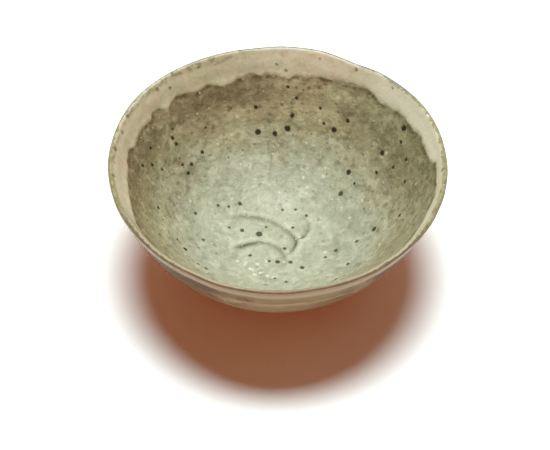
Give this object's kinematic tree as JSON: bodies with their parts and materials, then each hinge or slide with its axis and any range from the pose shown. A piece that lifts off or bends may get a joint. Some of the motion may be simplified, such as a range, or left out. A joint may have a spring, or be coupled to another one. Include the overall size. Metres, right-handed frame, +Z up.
{
  "type": "tea bowl",
  "caption": "Shallow flared stoneware tea bowl with a trimmed foot ring, a green glaze inside and a pale glaze over the lip.",
  "frame": {"origin": "centre of the foot ring, on the surface that the bowl stands on", "axes": "+Z up along the wheel axis, out of the bowl's mouth; the pictured front of the bowl is towards -Y"},
  "size_m": [0.1301, 0.131, 0.0574],
  "materials": {
    "clay": "bare fired stoneware, matt",
    "green_glaze": "grey-green satin glaze with dark iron specks and white grit",
    "pale_glaze": "cream to pinkish tan satin glaze, thin and olive on the lip"
  },
  "bodies": {
    "root": {"clay_body": "clay", "green_inner_glaze": "green_glaze", "pale_outer_glaze": "pale_glaze"}
  },
  "joints": []
}
